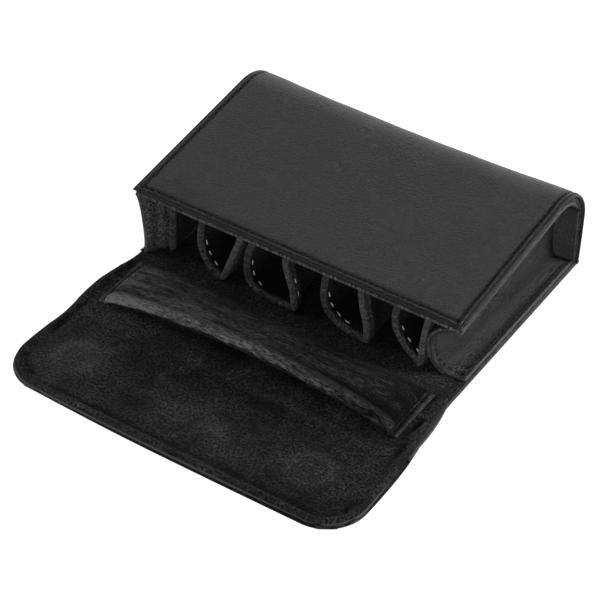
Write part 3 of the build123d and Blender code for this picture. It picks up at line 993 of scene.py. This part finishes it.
pale_thread = thread_finish("pale_grey_thread", (0.55, 0.55, 0.55))
stitched_walls = []
for n, (down_wall, up_wall) in enumerate(mouth_walls):
    stitched_walls.append(("cell_%d_stitches" % (n + 1), down_wall[0], down_wall[-1], 0.8, 3.5))
down_wall, up_wall = mouth_walls[1]
stitched_walls.append(("cell_2_right_stitches", down_wall[-1], up_wall[-1], 3.0, 3.0))
for label, start, end, above_foot, hem_row in stitched_walls:
    wall = range(nearest(mouth_line, start), nearest(mouth_line, end))
    wall = [k for k in wall if strip_foot + above_foot < mouth_line[k, 1] < strip_top - 12]
    rows = [number_at(hem_row, strip_rows)] * len(wall)
    outward = 1
    line, ups = seam_on(strip_grid, thick + 0.05, rows, wall)
    if ups[:, 0].mean() < 0:
        outward = -1
        line, ups = seam_on(strip_grid, -(thick + 0.05), rows, wall)
    seam = stitch_row(
        label, line, outward * ups, pale_thread, pitch=4.2, length=2.4, width=0.6
    )
    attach(seam, "case")


# Cushion: a flat foam pad in plush that fills the mouth when the flap is shut. It is sewn to the flap's
# lining at both ends and arches up between them, and its front edge is rolled over and sewn.
cushion_half, cushion_rear, cushion_front = 68.0, -11.25, -40.25
cushion_width = cushion_rear - cushion_front
cushion_thick, cushion_lift, tab_thick = 5.0, 8.5, 1.2


def pad_half(across):
    """Half thickness of the pad at a share of its half length: nearly even, with rounded ends."""
    return tab_thick / 2 + (cushion_thick - tab_thick) / 2 * (1 - min(1, abs(across)) ** 14) ** 0.5


def cushion_place(across, depth):
    """Middle of the pad at a share of its half length and a share of its width from the rear."""
    lift = cushion_lift * (1 - across ** 2) * depth
    y = cushion_rear + (cushion_front - cushion_rear) * depth
    crown = 1.0 * sin(pi * depth)
    return across * cushion_half, y, flap_top + pad_half(across) + lift + crown / 2


end_places = np.array([1, 0.997, 0.99, 0.98, 0.965, 0.945, 0.92])
across_places = np.concatenate([-end_places, np.linspace(-0.89, 0.89, 61), end_places[::-1]])
rear_places = [0, 0.004, 0.012, 0.025, 0.045, 0.07, 0.1]
front_places = [0.76, 0.8, 0.84, 0.88, 0.91, 0.94, 0.96, 0.975, 0.988, 0.996, 1]
depth_places = np.concatenate([rear_places, np.linspace(0.14, 0.72, 15), front_places])
pad_grid = np.array([[cushion_place(a, d) for a in across_places] for d in depth_places])
across_of, rear_gap = np.meshgrid(across_places * cushion_half, depth_places * cushion_width)
front_gap = cushion_width - rear_gap
end_gap = (1 - np.abs(across_places)) * cushion_half
body = np.array([pad_half(a) for a in across_places])
crown = 1 + 0.1 * np.sin(np.pi * depth_places)[:, None]
roll = 0.55 * hump(front_gap - 2.6, 2.2) - 0.45 * hump(front_gap - 6.2, 0.9)
full = rolled(rear_gap, 2.3) * rolled(front_gap, 2.3) * rolled(end_gap, 1.2)
ribs = 0.10 * np.sin(2 * np.pi * rear_gap / 1.5) * np.clip(front_gap / 6, 0, 1)
uneven = 0.22 * rough(across_of, rear_gap, 17, 7.7)
taper = 0.4 + 0.6 * np.clip(rear_gap / 10, 0, 1) ** 0.8
top_side = (body * crown) * full * taper + (roll + ribs + uneven) * full * taper * np.clip(end_gap / 6, 0, 1)
pad_start = sewn_sheet(
    "cushion_start", pad_grid, -0.93 * top_side, 0.93 * body * full, (across_of, rear_gap), 0
)


def blown_up(start, name, voxel, pressure, cap):
    """The piece as even cloth blown up from inside, each point moved no further than the cap in mm."""
    pad = start.copy()
    pad.data = start.data.copy()
    pad.name = pad.data.name = name
    bpy.context.collection.objects.link(pad)
    bpy.data.objects.remove(start)
    bpy.context.view_layer.objects.active = pad
    pad.select_set(True)
    pad.data.attributes.remove(pad.data.attributes["rim"])
    pad.data.remesh_voxel_size = voxel * mm
    bpy.ops.object.voxel_remesh()
    before = np.array([v.co for v in pad.data.vertices])
    cloth = pad.modifiers.new("swell", "CLOTH")
    cloth.settings.use_pressure = True
    cloth.settings.uniform_pressure_force = pressure
    cloth.settings.effector_weights.gravity = 0
    cloth.settings.tension_stiffness = cloth.settings.compression_stiffness = 40
    for frame_number in range(1, 21):
        bpy.context.scene.frame_set(frame_number)
    swollen = pad.evaluated_get(bpy.context.evaluated_depsgraph_get()).data
    after = np.array([v.co for v in swollen.vertices])
    pad.modifiers.remove(cloth)
    bpy.context.scene.frame_set(1)
    moved = (after - before) / mm
    far = np.linalg.norm(moved, axis=1, keepdims=True)
    moved *= np.minimum(1, cap / np.maximum(far, 1e-9))
    pad.data.vertices.foreach_set("co", (before + moved * mm).ravel())
    finer = pad.modifiers.new("finer", "SUBSURF")
    finer.levels = finer.render_levels = 1
    bpy.ops.object.modifier_apply(modifier="finer")
    pad.select_set(False)
    return pad


cushion = blown_up(pad_start, "cushion", voxel=1.3, pressure=4.0, cap=0.9)
places = np.array([v.co for v in cushion.data.vertices]) / mm
facing = np.array([v.normal for v in cushion.data.vertices])
share = np.clip((cushion_rear - places[:, 1]) / cushion_width, 0, 1)
lifted = flap_top + cushion_lift * (1 - np.clip(places[:, 0] / cushion_half, -1, 1) ** 2) * share
front_at = places[:, 1] - cushion_front
upward = np.clip(facing[:, 2] * 3, 0, 1)
places[:, 2] += upward * (0.35 * hump(front_at - 2.2, 1.8) - 0.5 * hump(front_at - 5.6, 1.0))
places[:, 2] += upward * 0.07 * np.sin(2 * pi * front_at / 1.7) * np.clip(front_at / 8, 0, 1)
places[:, 2] = np.maximum(places[:, 2], lifted + 0.04)
cushion.data.vertices.foreach_set("co", (places * mm).ravel())
cushion.data.update()
x, y = places[:, 0], places[:, 1]
# Painted light and shade on the cushion: a painted highlight on the rolled front edge, lighter towards the
# front with the pile's streaks and on the left end, painted shade towards the rear and on the right, and the
# underside painted dark.
streaks = rough(x / 9, y, 2.3, 5.5) + 0.5 * rough(x / 5, y, 1.4, 2.5)
to_right = np.clip(places[:, 0] / 60, -1, 1)
lighter = (0.36 + 0.10 * to_right) * hump(front_at - 2.0, 2.6) - 0.42 * np.clip(to_right, 0, 1)
lighter += (0.36 - 0.32 * to_right) * fade(front_at, 17 - 9 * to_right) * np.clip(0.8 + 1.3 * streaks, 0, 2)
lighter += 0.75 * np.clip(-to_right - 0.25, 0, 1) * np.clip(0.8 + 0.9 * streaks, 0, 2)
lighter -= 0.35 * np.clip((front_at - 18) / 10, 0, 1) * np.clip(0.7 + to_right, 0, 1)
lighter[facing[:, 2] < -0.1] = -0.5
edge = cushion.data.attributes.new("rim", "FLOAT", "POINT")
edge.data.foreach_set("value", lighter)
cushion.data.shade_smooth()
cushion_plush = plush_finish(
    "cushion_plush", (0.001, 0.001, 0.001), (0.125, 0.125, 0.125), brush=(0.4, 2.2, 1.0), place="object"
)
dress(cushion, cushion_plush)
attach(cushion, "flap_cover")
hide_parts("cushion_pad")
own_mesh(cushion)


# End tabs of the cushion: the seam allowance of its plush, folded flat and sewn to the lining with one
# row of black stitches.
tab_length, tab_inner, tab_outer = 28.0, 0.6, 3.4
for side, label in ((-1, "left"), (1, "right")):
    offsets = np.array([-0.6, -0.55, -0.4, -0.15, 0.2, 0.6, 1.1, 1.7, 2.3, 2.8, 3.1, 3.3, 3.4])
    lengths = spaced(tab_length, 1.6, rim=(0, 0.08, 0.2, 0.4, 0.7, 1.1, 1.7))
    tab_grid = np.array([
        [(side * (cushion_half + o), cushion_rear - length, flap_top + 0.6) for o in offsets]
        for length in lengths
    ])
    offset_of, length_of = np.meshgrid(offsets, lengths)
    out_gap = tab_outer - offset_of
    inner_gap = offset_of + tab_inner
    end_gap = np.minimum(length_of, tab_length - length_of)
    full = rolled(out_gap, 0.8) * rolled(end_gap, 0.8) * rolled(inner_gap, 0.6)
    height = (0.55 + 0.3 * hump(out_gap - 0.9, 0.7) - 0.4 * hump(inner_gap - 1.6, 0.5)) * full
    # The tabs' outer edges are painted lighter, the left one much more: painted highlights.
    tab = sewn_sheet(
        label + "_end_tab",
        tab_grid,
        -side * height,
        side * 0.5 * full,
        (out_gap, length_of),
        (1.1 if side < 0 else 0.3) * fade(out_gap, 0.9),
    )
    dress(tab, cushion_plush)
    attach(tab, "flap_cover")
    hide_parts(label + "_cushion_tab")
    seam_x, seam_z = side * (cushion_half + 1.0), flap_top + 0.85
    line = [(seam_x, cushion_rear - d, seam_z) for d in np.linspace(1.2, tab_length - 1, 30)]
    seam = stitch_row(label + "_tab_stitches", line, [(0, 0, 1)] * len(line), black_thread)
    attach(seam, "flap_cover")


# Studio: a white table that keeps the pouch's soft shadow, four large soft lamps and an even room light.
bpy.ops.mesh.primitive_plane_add(size=8, location=(0, 0, -0.0006))
table_top = bpy.context.object
table_top.name = "white_table"
white, white_tree, white_shader = new_finish("white_paper", (0.9, 0.9, 0.9), 0.9)
feed(white_tree, white_shader, {"Specular IOR Level": 0.0})
shown = ranged(white_tree, node(white_tree, "LightPath"), 0.0, 1.0, 1.0, 1.32)
glow = node(white_tree, "Emission", {"Color": (1, 1, 1, 1), "Strength": shown})
paper = node(white_tree, "MixShader", {0: 0.72, 1: white_shader, 2: glow})
feed(white_tree, white_tree.nodes["Material Output"], {"Surface": paper})
table_top.data.materials.append(white)

world = bpy.data.worlds.new("studio_room")
bpy.context.scene.world = world
world.use_nodes = True
room_tree = world.node_tree
room_light = ranged(room_tree, node(room_tree, "LightPath"), 0.0, 1.0, 0.08, 1.0)
feed(room_tree, room_tree.nodes["Background"], {"Color": (1, 1, 1, 1), "Strength": room_light})


def soft_lamp(name, place, aim, size, power):
    """A square soft box that faces a point."""
    lamp = bpy.data.lights.new(name, "AREA")
    lamp.shape = "SQUARE"
    lamp.size = size
    lamp.energy = power
    stand = bpy.data.objects.new(name, lamp)
    stand.location = place
    stand.rotation_euler = (Vector(aim) - Vector(place)).to_track_quat("-Z", "Y").to_euler()
    bpy.context.collection.objects.link(stand)


soft_lamp("front_lamp", (0.3, -0.92, 0.24), (0, 0, 0), 0.5, 7.0)
soft_lamp("left_lamp", (-0.7, -0.1, 0.55), (-0.03, -0.02, 0), 0.5, 4.6)
soft_lamp("right_lamp", (0.82, 0.55, 0.3), (0.06, 0.03, 0.02), 0.35, 13.5)
soft_lamp("back_panel", (-0.65, 1.0, 0.1), (0, 0.06, 0.04), 0.8, 3.0)

aim = Vector((0.0069, -0.00906, 0.0207))
azimuth, elevation, distance = radians(33.81), radians(41.07), 0.91236
lens_view = bpy.data.cameras.new("camera")
lens_view.lens = 138.33
lens_view.sensor_width = 36.0
camera = bpy.data.objects.new("camera", lens_view)
level = cos(elevation)
toward = Vector((sin(azimuth) * level, -cos(azimuth) * level, sin(elevation)))
camera.location = aim + distance * toward
camera.rotation_euler = (aim - camera.location).to_track_quat("-Z", "Y").to_euler()
bpy.context.collection.objects.link(camera)
bpy.context.scene.camera = camera
bpy.context.scene.view_settings.view_transform = "Standard"
